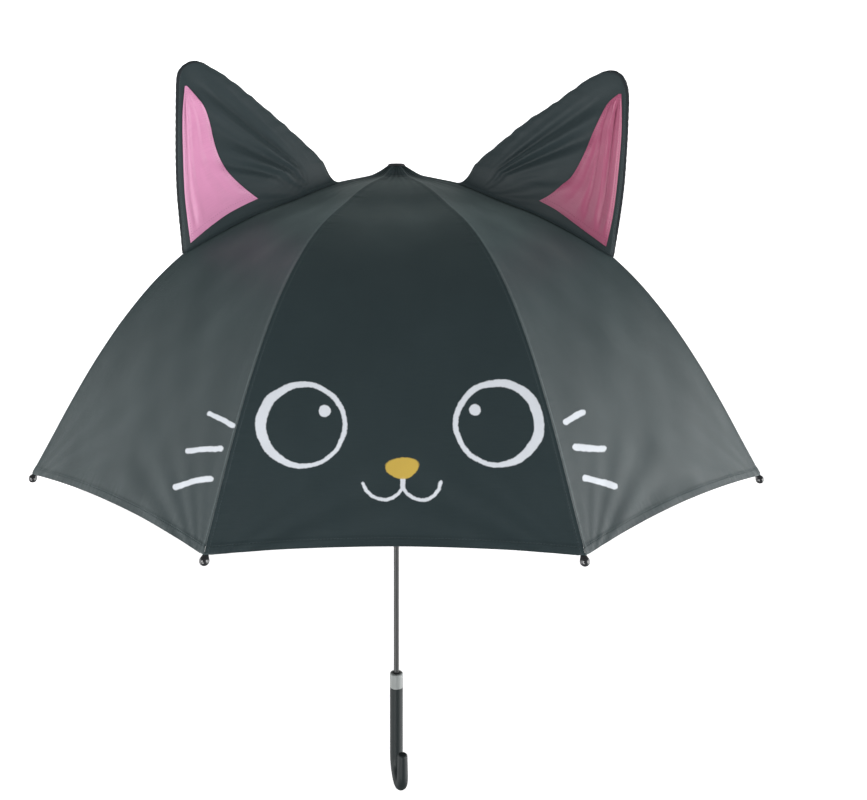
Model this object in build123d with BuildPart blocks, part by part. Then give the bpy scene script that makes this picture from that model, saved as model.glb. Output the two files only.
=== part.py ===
"""Children's stick umbrella with eight ribs, a domed fabric canopy and two standing ears.

Frame: +Z runs up the shaft, the front of the canopy faces -Y and +X is to its right.
The origin is on the shaft's axis, half way up the straight hand grip. Millimetres.
"""

from build123d import *
import math
import os

os.makedirs("parts", exist_ok=True)

# ---------------------------------------------------------------- driving sizes
ribs = 8
step_deg = 360 / ribs
half_deg = step_deg / 2
rim_r = 380.0          # radius to the canopy's corners, half of the 760 open width
rim_z = 350.0          # height of the rib ends above the origin
cloth_t = 1.0          # thickness of each canopy panel
seam_gap = 0.15        # each panel stops this short of the rib plane
flex_r = 228.0         # where the bent rib's outer length is taken to flex
split_gap = 0.4        # gap between an inner panel and its hem panel
corner_r = 380.0       # radius of the cloth's corners
ball_c = (381.5, -8.0)  # middle of a ball tip: radius, height above the rib ends

# the rib line seen from the side: radius, height above the rib ends
dome = [
    (4.0, 290.6), (14.0, 287.4), (30.0, 282.8), (45.0, 280.0), (70.0, 275.2),
    (95.0, 268.6), (121.7, 259.3),
    (171.5, 241.5), (215.3, 217.0), (254.0, 185.0), (287.9, 147.0),
    (317.5, 106.0), (342.8, 65.1), (363.8, 28.3), (380.0, 0.0),
]

shaft_r, shaft_in = 3.0, 2.3
shaft_bottom, shaft_top = 36.0, rim_z + 290.6
pivot_r = 8.0          # radius of the pivot circle in the notch and in the runner
pivot_h = 281.3        # height of the notch pivots above the rib ends
notch_r, notch_low, notch_high = 10.8, 277.3, 285.2
rib_w, rib_h = 2.8, 2.2
eye_r, eye_hole = 1.5, 0.55
wire_r = 0.48
joint_drop = 4.0       # the stretcher joint hangs this far under the rib
runner_r, runner_head_r = 5.9, 10.6
runner_bore = 3.05
handle_r, hook_r, hook_tip_r = 7.4, 20.0, 5.6
handle_top, bend_z, hook_top = 50.0, -34.0, -8.5
hook_turn = -80.0      # azimuth that the hook's open side points to
ball_r = 4.0
ear_w = 15.0           # half width of an ear where it meets the canopy

closed_lean = 3.0      # a closed stretcher leans this far from the shaft


# ---------------------------------------------------------------- profile helpers
def offset_line(points, by):
    """The line moved by `by` along its outward normal."""
    out = []
    for i, (x, z) in enumerate(points):
        a = points[max(i - 1, 0)]
        b = points[min(i + 1, len(points) - 1)]
        dx, dz = b[0] - a[0], b[1] - a[1]
        n = math.hypot(dx, dz)
        out.append((x - dz / n * by, z + dx / n * by))
    return out


def at_radius(points, r):
    """Height of a line at a radius, by straight pieces."""
    for (x0, z0), (x1, z1) in zip(points, points[1:]):
        if x0 <= r <= x1:
            return z0 + (z1 - z0) * (r - x0) / (x1 - x0)
    return points[-1][1]


def smooth(points, n):
    """The dome line made finer with a Catmull-Rom curve."""
    fine = []
    last = len(points) - 1
    for i in range(last):
        p0, p1 = points[max(i - 1, 0)], points[i]
        p2, p3 = points[i + 1], points[min(i + 2, last)]
        for k in range(n):
            t = k / n
            fine.append(tuple(
                0.5 * (2 * b + (c - a) * t + (2 * a - 5 * b + 4 * c - d) * t * t
                       + (3 * b - a - 3 * c + d) * t ** 3)
                for a, b, c, d in zip(p0, p1, p2, p3)))
    return fine + [points[-1]]


def part_of(points, r0, r1):
    """The stretch of a line between two radii, ends added."""
    inside = [p for p in points if r0 + 1.5 < p[0] < r1 - 1.5]
    return [(r0, at_radius(points, r0))] + inside + [(r1, at_radius(points, r1))]


fine = smooth(dome, 3)
squeeze = math.cos(math.radians(half_deg))       # panel middle to rib plane
mid_line = [(x * squeeze, z) for x, z in fine]   # line down the middle of a panel

under = offset_line(fine, -(cloth_t + 0.4) / squeeze - 0.75 - rib_h / 2)
rib_line = [(pivot_r, pivot_h), (18.0, 280.5), (30.0, 279.0)] + [p for p in under if p[0] > 45]
flex = (flex_r, at_radius(rib_line, flex_r))
before, after = at_radius(rib_line, flex_r - 3), at_radius(rib_line, flex_r + 3)
slope = math.hypot(6, after - before)
joint_at = (flex[0] + (after - before) / slope * joint_drop, flex[1] - 6 / slope * joint_drop)

stretch_len = math.hypot(joint_at[0] - pivot_r, joint_at[1] - pivot_h)
open_angle = math.degrees(math.atan2(pivot_h - joint_at[1], joint_at[0] - pivot_r))
fold_angle = 90 - closed_lean - open_angle
runner_h = pivot_h - 2 * stretch_len * math.sin(math.radians(open_angle))
travel = 2 * stretch_len * (math.cos(math.radians(closed_lean)) - math.sin(math.radians(open_angle)))
tip_line = math.degrees(math.atan2(flex[1], rim_r - flex[0]))
flex_angle = tip_line + fold_angle - 90
print("stretcher", round(stretch_len, 3), "open angle", round(open_angle, 3), "fold", round(fold_angle, 3))
print("runner pivots at", round(runner_h, 3), "travel", round(travel, 3), "flex", round(flex_angle, 3))
print("joint", joint_at, "flex", flex)

side = Plane(origin=(0, 0, rim_z), x_dir=(1, 0, 0), z_dir=(0, -1, 0))   # rib plane at azimuth 0


def closed(upper, lower):
    """The four edges of the band between two lines."""
    return [Spline(*upper, mode=Mode.PRIVATE), Line(upper[-1], lower[-1], mode=Mode.PRIVATE),
            Spline(*lower[::-1], mode=Mode.PRIVATE), Line(lower[0], upper[0], mode=Mode.PRIVATE)]


# ---------------------------------------------------------------- shaft and handle (root)
catch_low_z = 118.0                       # lower catch pivot height
catch_high_z = rim_z + runner_h - 34.0 - 0.6 - 22.0
catch_rise = 22.0                         # length of a catch above its pivot

with BuildPart() as shaft:
    with BuildSketch(Plane.XY.offset(shaft_bottom)):
        Circle(shaft_r)
        Circle(shaft_in, mode=Mode.SUBTRACT)
    extrude(amount=shaft_top - shaft_bottom)
    # long windows that the two catches spring out of, at the back
    for z in (catch_low_z, catch_high_z):
        with BuildSketch(Plane.XZ.offset(-1.0)):
            with Locations((0, z + 9.0)):
                Rectangle(1.7, 31.0)
        extrude(amount=-6.0, mode=Mode.SUBTRACT)
shaft.part.label = "shaft"
export_step(shaft.part, "parts/shaft.step")

with BuildPart() as top_notch:
    with BuildSketch(Plane.XY.offset(rim_z + notch_low)):
        Circle(notch_r)
        Circle(shaft_r, mode=Mode.SUBTRACT)
    extrude(amount=notch_high - notch_low)
    # one slot for each rib, open above, below and outside
    with BuildSketch(Plane.XY.offset(rim_z + notch_low)):
        with PolarLocations(10.3, ribs, start_angle=half_deg):
            Rectangle(9.0, 2.4)
    extrude(amount=notch_high - notch_low, mode=Mode.SUBTRACT)
    # groove that holds the wire all round
    with BuildSketch(Plane.XZ):
        with Locations((pivot_r, rim_z + pivot_h)):
            Circle(wire_r + 0.05)
    revolve(axis=Axis.Z, mode=Mode.SUBTRACT)
top_notch.part.label = "top_notch"
export_step(top_notch.part, "parts/top_notch.step")

with BuildPart() as notch_wire:
    with BuildSketch(Plane.XZ):
        with Locations((pivot_r, rim_z + pivot_h)):
            Circle(wire_r)
    revolve(axis=Axis.Z)
notch_wire.part.label = "notch_wire"
export_step(notch_wire.part, "parts/notch_wire.step")

with BuildPart() as crown_washer:
    with BuildSketch(Plane.XY.offset(rim_z + 290.9)):
        Circle(6.4)
        Circle(shaft_in, mode=Mode.SUBTRACT)
    extrude(amount=0.7)
crown_washer.part.label = "crown_washer"
export_step(crown_washer.part, "parts/crown_washer.step")

with BuildPart() as top_cap:
    with BuildSketch(Plane.XY.offset(rim_z + 291.6)):
        Circle(7.5)
    extrude(amount=3.0)
    fillet(top_cap.faces().sort_by(Axis.Z)[-1].edges(), radius=1.6)
    # spigot pressed into the tube
    with BuildSketch(Plane.XY.offset(rim_z + 275.0)):
        Circle(shaft_in)
    extrude(amount=17.0)
top_cap.part.label = "top_cap"
export_step(top_cap.part, "parts/top_cap.step")

with BuildPart() as collar:
    with BuildSketch(Plane.XY.offset(handle_top)):
        Circle(handle_r)
        Circle(shaft_r, mode=Mode.SUBTRACT)
    extrude(amount=17.0)
    chamfer(collar.faces().sort_by(Axis.Z)[-1].edges().sort_by(SortBy.RADIUS)[-1], length=0.8)
    # shallow recess round the shaft
    with BuildSketch(Plane.XY.offset(handle_top + 17.0)):
        Circle(4.4)
    extrude(amount=-2.4, mode=Mode.SUBTRACT)
collar.part.label = "collar"
export_step(collar.part, "parts/collar.step")

hook_dir = (math.cos(math.radians(hook_turn)), math.sin(math.radians(hook_turn)))
with BuildPart() as handle:
    # straight grip
    with BuildSketch(Plane.XY.offset(bend_z)):
        Circle(handle_r)
    extrude(amount=handle_top - bend_z)
    # the bend, which thins steadily towards the hook's tip
    for k in range(7):
        a = math.radians(30 * k)
        out = hook_r * (1 - math.cos(a))
        centre = (out * hook_dir[0], out * hook_dir[1], bend_z - hook_r * math.sin(a))
        along = (math.sin(a) * hook_dir[0], math.sin(a) * hook_dir[1], -math.cos(a))
        across = (-hook_dir[1], hook_dir[0], 0)
        with BuildSketch(Plane(origin=centre, x_dir=across, z_dir=along)):
            Circle(handle_r - (handle_r - 6.2) * k / 6)
    loft()
    # the free end
    with BuildSketch(Plane(origin=(2 * hook_r * hook_dir[0], 2 * hook_r * hook_dir[1], bend_z))):
        Circle(6.2)
    with BuildSketch(Plane(origin=(2 * hook_r * hook_dir[0], 2 * hook_r * hook_dir[1], hook_top))):
        Circle(hook_tip_r)
    loft()
    fillet(handle.faces().filter_by(Plane.XY).group_by(Axis.Z)[0].edges(), radius=3.0)
    # bore for the shaft
    with BuildSketch(Plane.XY.offset(shaft_bottom)):
        Circle(shaft_r)
    extrude(amount=handle_top - shaft_bottom + 1, mode=Mode.SUBTRACT)
handle.part.label = "handle"
export_step(handle.part, "parts/handle.step")

# ---------------------------------------------------------------- catches
for name, z, up in (("lower_catch", catch_low_z, 1), ("upper_catch", catch_high_z, 1)):
    with BuildPart() as catch:
        # a bent spring blade: pivot eye low in the shaft, nose outside it
        with BuildSketch(Plane.YZ.offset(-0.6)):
            with BuildLine():
                Polyline((-0.6, z - 1.0), (1.0, z - 1.0), (1.5, z + 3.0), (5.6, z + catch_rise - 1.2),
                         (5.6, z + catch_rise), (0.9, z + catch_rise), (0.4, z + 8.0),
                         (-0.6, z + 1.0), close=True)
            make_face()
        extrude(amount=1.2)
        with BuildSketch(Plane.YZ.offset(-0.6)):
            with Locations((0.1, z)):
                Circle(1.3)
        extrude(amount=1.2)
        with BuildSketch(Plane.YZ.offset(-0.6)):
            with Locations((0.1, z)):
                Circle(0.45)
        extrude(amount=1.2, mode=Mode.SUBTRACT)
    catch.part.label = name
    export_step(catch.part, "parts/" + name + ".step")

# ---------------------------------------------------------------- runner
with BuildPart() as runner:
    with BuildSketch(Plane.XY.offset(rim_z + runner_h - 34.0)):
        Circle(runner_r)
    extrude(amount=40.0)
    with BuildSketch(Plane.XY.offset(rim_z + runner_h - 3.6)):
        Circle(runner_head_r)
    extrude(amount=7.2)
    with BuildSketch(Plane.XY.offset(rim_z + runner_h - 34.0)):
        Circle(runner_bore)
    extrude(amount=40.0, mode=Mode.SUBTRACT)
    # slots for the stretcher ends, open above, below and outside
    with BuildSketch(Plane.XY.offset(rim_z + runner_h - 3.6)):
        with PolarLocations(10.6, ribs, start_angle=half_deg):
            Rectangle(8.8, 2.6)
    extrude(amount=7.2, mode=Mode.SUBTRACT)
    # keyway that the catch noses run in
    with BuildSketch(Plane.XY.offset(rim_z + runner_h - 34.0)):
        with Locations((0, 4.6)):
            Rectangle(1.9, 4.2)
    extrude(amount=40.0, mode=Mode.SUBTRACT)
    with BuildSketch(Plane.XZ):
        with Locations((pivot_r, rim_z + runner_h)):
            Circle(wire_r + 0.05)
    revolve(axis=Axis.Z, mode=Mode.SUBTRACT)
runner.part.label = "runner"
export_step(runner.part, "parts/runner.step")

with BuildPart() as runner_wire:
    with BuildSketch(Plane.XZ):
        with Locations((pivot_r, rim_z + runner_h)):
            Circle(wire_r)
    revolve(axis=Axis.Z)
runner_wire.part.label = "runner_wire"
export_step(runner_wire.part, "parts/runner_wire.step")

# ---------------------------------------------------------------- one rib, at azimuth 0
rib_end_r = 371.5
body_line = part_of(rib_line, 15.0, rib_end_r)
top_line = offset_line(body_line, rib_h / 2)
low_line = offset_line(body_line, -rib_h / 2)
groove_low = offset_line(body_line, -rib_h / 2 - 0.4)
groove_top = offset_line(body_line, rib_h / 2 - 0.7)

blade = part_of(rib_line, pivot_r, 20.0)
rib_band = closed(top_line, low_line)
groove_band = closed(groove_top, groove_low)
blade_band = closed(offset_line(blade, 0.95), offset_line(blade, -0.95))

with BuildPart() as rib_blank:
    with BuildSketch(side):
        with BuildLine():
            add(rib_band)
        make_face()
    extrude(amount=rib_w / 2, both=True)
    # the channel that makes the section a fluted one
    with BuildSketch(side):
        with BuildLine():
            add(groove_band)
        make_face()
    extrude(amount=rib_w / 2 - 0.6, both=True, mode=Mode.SUBTRACT)
    # flat blade with the pivot eye
    with BuildSketch(side):
        with BuildLine():
            add(blade_band)
        make_face()
        with Locations((pivot_r, pivot_h)):
            Circle(eye_r)
    extrude(amount=0.8, both=True)
    with BuildSketch(side):
        with Locations((pivot_r, pivot_h)):
            Circle(eye_hole)
    extrude(amount=2, both=True, mode=Mode.SUBTRACT)
    # saddle clip: a cheek down each side of the rib, and the rivet through both
    for s in (-1, 1):
        with BuildSketch(side.offset(s * (rib_w / 2 + 0.35) - 0.35)):
            with BuildLine():
                a, b = (flex_r - 5, at_radius(rib_line, flex_r - 5)), (flex_r + 5, at_radius(rib_line, flex_r + 5))
                Polyline((a[0] + 0.2, a[1] + 0.5), (b[0] + 0.2, b[1] + 0.5),
                         (joint_at[0] + 2.2, joint_at[1] - 0.6), (joint_at[0] + 0.2, joint_at[1] - 2.0),
                         (joint_at[0] - 1.9, joint_at[1] - 0.6), close=True)
            make_face()
        extrude(amount=0.7)
    with BuildSketch(side):
        with Locations(joint_at):
            Circle(0.8)
    extrude(amount=rib_w / 2 + 0.7, both=True)

# ---------------------------------------------------------------- one ball tip, at azimuth 0
rib_end = body_line[-1]
tip_c = ball_c
end_dir = (tip_c[0] - rib_end[0], tip_c[1] - rib_end[1])
n = math.hypot(*end_dir)
end_dir = (end_dir[0] / n, end_dir[1] / n)
neck = n - 0.7                                # the tip's neck starts just past the rib's end
with BuildPart() as tip_blank:
    # turned shape: neck, then a drop that ends in the ball
    base = (tip_c[0] - end_dir[0] * neck, tip_c[1] - end_dir[1] * neck)
    turn = Plane(origin=(base[0], 0, rim_z + base[1]), x_dir=(0, -1, 0),
                 z_dir=(end_dir[0], 0, end_dir[1]))
    with BuildSketch(turn):
        Circle(1.5)
    extrude(amount=neck - 5.5)
    with BuildSketch(turn.offset(neck - 6.5)):
        Circle(1.55)
    with BuildSketch(turn.offset(neck - 1.5)):
        Circle(3.6)
    loft()
    with Locations((tip_c[0], 0, rim_z + tip_c[1])):
        Sphere(ball_r)

# ---------------------------------------------------------------- one stretcher, at azimuth 0
run_dir = (joint_at[0] - pivot_r, joint_at[1] - runner_h)
n = math.hypot(*run_dir)
run_dir = (run_dir[0] / n, run_dir[1] / n)
normal = (-run_dir[1], run_dir[0])


def on_bar(along, across):
    return (pivot_r + run_dir[0] * along + normal[0] * across,
            runner_h + run_dir[1] * along + normal[1] * across)


with BuildPart() as stretcher_blank:
    with BuildSketch(side):
        with BuildLine():
            Polyline(on_bar(7, 1.0), on_bar(stretch_len - 9, 1.0),
                     on_bar(stretch_len - 9, -1.0), on_bar(7, -1.0), close=True)
        make_face()
    extrude(amount=1.3, both=True)
    with BuildSketch(side):
        with BuildLine():
            Polyline(on_bar(9, -0.4), on_bar(stretch_len - 11, -0.4),
                     on_bar(stretch_len - 11, -1.4), on_bar(9, -1.4), close=True)
        make_face()
    extrude(amount=0.75, both=True, mode=Mode.SUBTRACT)
    # flattened ends with their eyes
    with BuildSketch(side):
        with BuildLine():
            Polyline(on_bar(0, 0.9), on_bar(12, 0.9), on_bar(12, -0.9), on_bar(0, -0.9), close=True)
        make_face()
        with BuildLine():
            Polyline(on_bar(stretch_len - 13, 0.9), on_bar(stretch_len, 0.9),
                     on_bar(stretch_len, -0.9), on_bar(stretch_len - 13, -0.9), close=True)
        make_face()
        with Locations(on_bar(0, 0), on_bar(stretch_len, 0)):
            Circle(1.6)
    extrude(amount=0.8, both=True)
    with BuildSketch(side):
        with Locations(on_bar(0, 0)):
            Circle(eye_hole)
        with Locations(on_bar(stretch_len, 0)):
            Circle(0.86)
    extrude(amount=2, both=True, mode=Mode.SUBTRACT)

# ---------------------------------------------------------------- one canopy panel, around azimuth 0
cut_m = flex_r * squeeze
inner_line = part_of(mid_line, dome[0][0] * squeeze, cut_m - split_gap / 2)
outer_line = part_of(mid_line, cut_m + split_gap / 2, corner_r * squeeze)
corner_z = outer_line[-1][1]
wide = rim_r * math.tan(math.radians(half_deg)) + 5
apex = seam_gap / math.sin(math.radians(half_deg))

panel_blanks = []
for line, hem in ((inner_line, False), (outer_line, True)):
    band = closed(line, offset_line(line, -cloth_t))
    with BuildPart() as blank:
        with BuildSketch(side):
            with BuildLine():
                add(band)
            make_face()
        extrude(amount=wide, both=True)
        with BuildSketch(Plane.XY.offset(rim_z - 20)):
            with BuildLine():
                Polyline((apex, 0), (420, (420 - apex) * math.tan(math.radians(half_deg))),
                         (420, -(420 - apex) * math.tan(math.radians(half_deg))), close=True)
            make_face()
        extrude(amount=340, mode=Mode.INTERSECT)
        if hem:
            # the hem rises a little between the tips
            with BuildSketch(Plane.YZ.offset(300)):
                with BuildLine():
                    ThreePointArc((-150, rim_z + corner_z - 2), (0, rim_z + corner_z + 6.5),
                                  (150, rim_z + corner_z - 2))
                    Polyline((150, rim_z + corner_z - 2), (150, rim_z - 30), (-150, rim_z - 30),
                             (-150, rim_z + corner_z - 2))
                make_face()
            extrude(amount=100, mode=Mode.SUBTRACT)
    panel_blanks.append(blank)

# ---------------------------------------------------------------- one ear, on a rib at azimuth 0
ear_shape = [(46, 230), (46, 266), (71, 280.5), (212, 388), (219, 392), (226, 390),
             (230, 383), (234, 205), (225, 190)]
ear_inner = [(30, 230), (30, 250), (71, 280.5), (212, 388), (219, 391), (224, 388.5),
             (228.6, 383), (232.6, 205), (225, 170), (60, 170)]
crest_a, crest_b = (50.0, 266.0), (219.0, 395.0)
crest_n = math.hypot(crest_b[0] - crest_a[0], crest_b[1] - crest_a[1])
crest_u = ((crest_b[0] - crest_a[0]) / crest_n, (crest_b[1] - crest_a[1]) / crest_n)
deep = 160.0


# plane across the crest, before its lower end: local x runs across the ear, local y along `crest_down`
def across(drop):
    """Plane across the crest line, its origin on the line less `drop`."""
    return Plane(
        origin=(crest_a[0] - 60 * crest_u[0] + drop * crest_u[1], 0,
                rim_z + crest_a[1] - 60 * crest_u[1] - drop * crest_u[0]),
        x_dir=(0, 1, 0), z_dir=(crest_u[0], 0, crest_u[1]))


down = -1 if across(0).y_dir.Z > 0 else 1      # local y sense that points into the canopy
roof_w = deep * ear_w / 150.0

with BuildPart() as ear_hollow:
    with BuildSketch(side):
        with BuildLine():
            Polyline(*ear_inner, close=True)
        make_face()
    extrude(amount=60, both=True)
    with BuildSketch(across(9.5)):
        with BuildLine():
            Polyline((0, 0), (roof_w, down * deep), (-roof_w, down * deep), close=True)
        make_face()
    extrude(amount=crest_n + 160, mode=Mode.INTERSECT)

filled = [(x, z) for x, z in offset_line(mid_line, 0.7)]
with BuildPart() as canopy_fill:
    # solid dome under both panels beside the rib, to fit the ear's lower edge to them
    for turn_by in (-half_deg, half_deg):
        plane = Plane(
            origin=(0, 0, rim_z),
            x_dir=(math.cos(math.radians(turn_by)), math.sin(math.radians(turn_by)), 0),
            z_dir=(math.sin(math.radians(turn_by)), -math.cos(math.radians(turn_by)), 0))
        with BuildSketch(plane):
            with BuildLine():
                Spline(*filled)
                Polyline(filled[-1], (filled[-1][0], -40), (filled[0][0], -40), filled[0])
            make_face()
        extrude(amount=130, both=True)

with BuildPart() as ear_blank:
    with BuildSketch(side):
        with BuildLine():
            Polyline(*ear_shape, close=True)
        make_face()
    extrude(amount=60, both=True)
    with BuildSketch(across(0)):
        with BuildLine():
            Polyline((0, 0), (roof_w, down * deep), (-roof_w, down * deep), close=True)
        make_face()
    extrude(amount=crest_n + 160, mode=Mode.INTERSECT)
    add(ear_hollow.part, mode=Mode.SUBTRACT)

with BuildPart() as boning_blank:
    with BuildSketch(side):
        with BuildLine():
            Polyline((230.4, 211.0), (232.1, 211.0), (229.4, 345.0), (227.7, 345.0), close=True)
        make_face()
    extrude(amount=1.5, both=True)

# ---------------------------------------------------------------- copies round the shaft
for i in range(ribs):
    turn_by = -90 - half_deg + step_deg * i
    for name, blank in (("rib", rib_blank), ("tip", tip_blank), ("stretcher", stretcher_blank)):
        with BuildPart() as piece:
            add(blank.part, rotation=(0, 0, turn_by))
        piece.part.label = f"{name}_{i + 1}"
        export_step(piece.part, f"parts/{name}_{i + 1}.step")
    for name, blank in zip(("panel", "hem"), panel_blanks):
        with BuildPart() as piece:
            add(blank.part, rotation=(0, 0, turn_by + half_deg))
        piece.part.label = f"{name}_{i + 1}"
        export_step(piece.part, f"parts/{name}_{i + 1}.step")

with BuildPart() as ear_cut:
    add(ear_blank.part)
    add(canopy_fill.part, mode=Mode.SUBTRACT)

for name, turn_by in (("right", -22.5), ("left", -157.5)):
    with BuildPart() as ear:
        add(ear_cut.part, rotation=(0, 0, turn_by))
    ear.part.label = "ear_" + name
    export_step(ear.part, "parts/ear_" + name + ".step")
    with BuildPart() as boning:
        add(boning_blank.part, rotation=(0, 0, turn_by))
    boning.part.label = "ear_" + name + "_boning"
    export_step(boning.part, "parts/ear_" + name + "_boning.step")
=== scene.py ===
import math
import bpy
import bmesh
import numpy as np
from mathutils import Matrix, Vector
from mathutils.bvhtree import BVHTree


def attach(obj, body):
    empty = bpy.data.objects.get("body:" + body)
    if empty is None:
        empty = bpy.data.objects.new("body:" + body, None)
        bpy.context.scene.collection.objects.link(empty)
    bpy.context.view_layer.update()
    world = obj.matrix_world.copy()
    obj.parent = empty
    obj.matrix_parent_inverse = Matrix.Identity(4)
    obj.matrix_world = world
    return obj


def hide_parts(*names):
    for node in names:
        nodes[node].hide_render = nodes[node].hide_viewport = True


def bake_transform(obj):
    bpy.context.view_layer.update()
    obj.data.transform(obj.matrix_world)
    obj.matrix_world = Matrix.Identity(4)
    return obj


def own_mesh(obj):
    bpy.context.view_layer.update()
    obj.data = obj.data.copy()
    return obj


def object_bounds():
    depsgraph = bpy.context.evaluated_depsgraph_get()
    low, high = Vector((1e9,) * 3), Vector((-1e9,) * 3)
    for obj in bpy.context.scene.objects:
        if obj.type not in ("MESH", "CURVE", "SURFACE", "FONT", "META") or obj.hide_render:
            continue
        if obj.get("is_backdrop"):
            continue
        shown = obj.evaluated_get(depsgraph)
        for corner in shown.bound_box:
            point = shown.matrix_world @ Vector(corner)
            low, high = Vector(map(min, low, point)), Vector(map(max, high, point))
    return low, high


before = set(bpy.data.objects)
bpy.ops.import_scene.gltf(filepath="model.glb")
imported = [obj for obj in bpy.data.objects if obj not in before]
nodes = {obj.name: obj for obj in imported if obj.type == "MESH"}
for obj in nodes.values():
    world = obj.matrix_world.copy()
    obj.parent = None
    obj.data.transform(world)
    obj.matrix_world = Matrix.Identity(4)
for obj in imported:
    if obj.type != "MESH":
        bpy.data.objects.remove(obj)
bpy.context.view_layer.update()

scene = bpy.context.scene
MM = 0.001

# ------------------------------------------------------------------ camera
RIM_Z, R = 350.0, 380.0
HALF = math.radians(22.5)
TILT = math.radians(7.25)
DIST = 2.91 * R
TARGET = (0.0, 0.0, RIM_Z + 0.4 * R)
FOCAL, CX, CY, W, H = 1012.0, 396.4, 296.2, 867, 800
YAW = math.radians(0.25)
EYE = (DIST * math.cos(TILT) * math.sin(YAW), -DIST * math.cos(TILT) * math.cos(YAW), TARGET[2] + DIST * math.sin(TILT))
AHEAD = (np.array(TARGET) - np.array(EYE)) / DIST
ASIDE = np.cross(AHEAD, (0, 0, 1))
ASIDE /= np.linalg.norm(ASIDE)
UPWARD = np.cross(ASIDE, AHEAD)

cam_data = bpy.data.cameras.new("camera")
cam = bpy.data.objects.new("camera", cam_data)
scene.collection.objects.link(cam)
cam.location = Vector(EYE) * MM
cam.rotation_euler = (Vector(TARGET) - Vector(EYE)).to_track_quat("-Z", "Y").to_euler()
cam_data.sensor_fit = "HORIZONTAL"
cam_data.sensor_width = 36.0
cam_data.lens = 36.0 * FOCAL / W
cam_data.shift_x = (W / 2 - CX) / W
cam_data.shift_y = -(H / 2 - CY) / W
cam_data.clip_start, cam_data.clip_end = 0.05, 50
scene.camera = cam
scene.view_settings.view_transform = "Standard"
scene.view_settings.look = "None"
scene.view_settings.exposure = 0.0


def to_pixel(p):
    """Picture coordinates of points given in millimetres, shape (n, 3)."""
    p = np.asarray(p, float) - np.array(EYE)
    depth = p @ AHEAD
    return np.c_[CX + FOCAL * (p @ ASIDE) / depth, CY - FOCAL * (p @ UPWARD) / depth]


def ray(px, py):
    """Unit direction from the camera through a picture point."""
    d = AHEAD * FOCAL + ASIDE * (px - CX) + UPWARD * (CY - py)
    return d / np.linalg.norm(d)


# ------------------------------------------------------------------ canopy line
DOME = [
    (4.0, 294.4), (8.5, 293.5), (14.0, 290.6), (21.0, 286.8), (30.0, 283.0), (45.0, 280.0), (70.0, 275.2),
    (95.0, 268.6), (121.7, 259.3),
    (171.5, 241.5), (215.3, 217.0), (254.0, 185.0), (287.9, 147.0),
    (317.5, 106.0), (342.8, 65.1), (363.8, 28.3), (380.0, 0.0), (381.5, -2.8),
]
FLEX_R = 228.0


def catmull(points, n):
    out, last = [], len(points) - 1
    for i in range(last):
        p0, p1, p2, p3 = points[max(i - 1, 0)], points[i], points[i + 1], points[min(i + 2, last)]
        for k in range(n):
            t = k / n
            out.append([0.5 * (2 * b + (c - a) * t + (2 * a - 5 * b + 4 * c - d) * t * t
                               + (3 * b - a - 3 * c + d) * t ** 3)
                        for a, b, c, d in zip(p0, p1, p2, p3)])
    return np.array(out + [list(points[-1])])


LINE = catmull(DOME, 24)                       # rib-plane radius, height
STEP = np.r_[0, np.cumsum(np.hypot(*np.diff(LINE, axis=0).T))]
TOTAL = STEP[-1]
S_FLEX = float(np.interp(FLEX_R, LINE[:, 0], STEP))


def line_at(s):
    return np.interp(s, STEP, LINE[:, 0]), np.interp(s, STEP, LINE[:, 1])


def height_at_mid(m):
    """Canopy height over the middle-plane distance m (mm)."""
    return np.interp(np.asarray(m) / math.cos(HALF), LINE[:, 0], LINE[:, 1])


def canopy_height(x, y):
    """Canopy height (above the rib ends) at a plan position, flat between the ribs."""
    a = np.degrees(np.arctan2(y, x))
    centre = np.round((a - 0.0) / 45.0) * 45.0
    m = np.hypot(x, y) * np.cos(np.radians(a - centre))
    return height_at_mid(m)


# ------------------------------------------------------------------ mesh helpers
def grid_faces(rows, cols, base=0, flip=False):
    i, j = np.meshgrid(np.arange(rows - 1), np.arange(cols - 1), indexing="ij")
    a = base + i * cols + j
    quads = np.stack([a, a + 1, a + cols + 1, a + cols], -1).reshape(-1, 4)
    return quads[:, ::-1] if flip else quads


def rim_faces(rows, cols, off):
    ring = ([j for j in range(cols)] + [i * cols + cols - 1 for i in range(1, rows)]
            + [(rows - 1) * cols + j for j in range(cols - 2, -1, -1)]
            + [i * cols for i in range(rows - 2, 0, -1)])
    out = []
    for a, b in zip(ring, ring[1:] + ring[:1]):
        out.append((b, a, a + off, b + off))
    return np.array(out)


def make_object(name, points, faces, uvs=(), normals=None, smooth=True):
    """A mesh object from points in mm. uvs is [(layer name, per-vertex uv)]."""
    mesh = bpy.data.meshes.new(name)
    mesh.from_pydata((np.asarray(points) * MM).tolist(), [], np.asarray(faces).tolist() if not isinstance(faces, list) else faces)
    loops = np.empty(len(mesh.loops), int)
    mesh.loops.foreach_get("vertex_index", loops)
    for layer, values in uvs:
        uv = mesh.uv_layers.new(name=layer)
        uv.data.foreach_set("uv", np.asarray(values, np.float32)[loops].ravel())
    mesh.polygons.foreach_set("use_smooth", [smooth] * len(mesh.polygons))
    if normals is not None:
        mesh.normals_split_custom_set_from_vertices(np.asarray(normals).tolist())
    mesh.update()
    obj = bpy.data.objects.new(name, mesh)
    scene.collection.objects.link(obj)
    return obj


def grid_normals(P):
    """Unit normals of a grid of points (rows, cols, 3)."""
    du, dv = np.gradient(P, axis=0), np.gradient(P, axis=1)
    n = np.cross(dv, du)
    return n / np.maximum(np.linalg.norm(n, axis=-1, keepdims=True), 1e-9)


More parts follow.
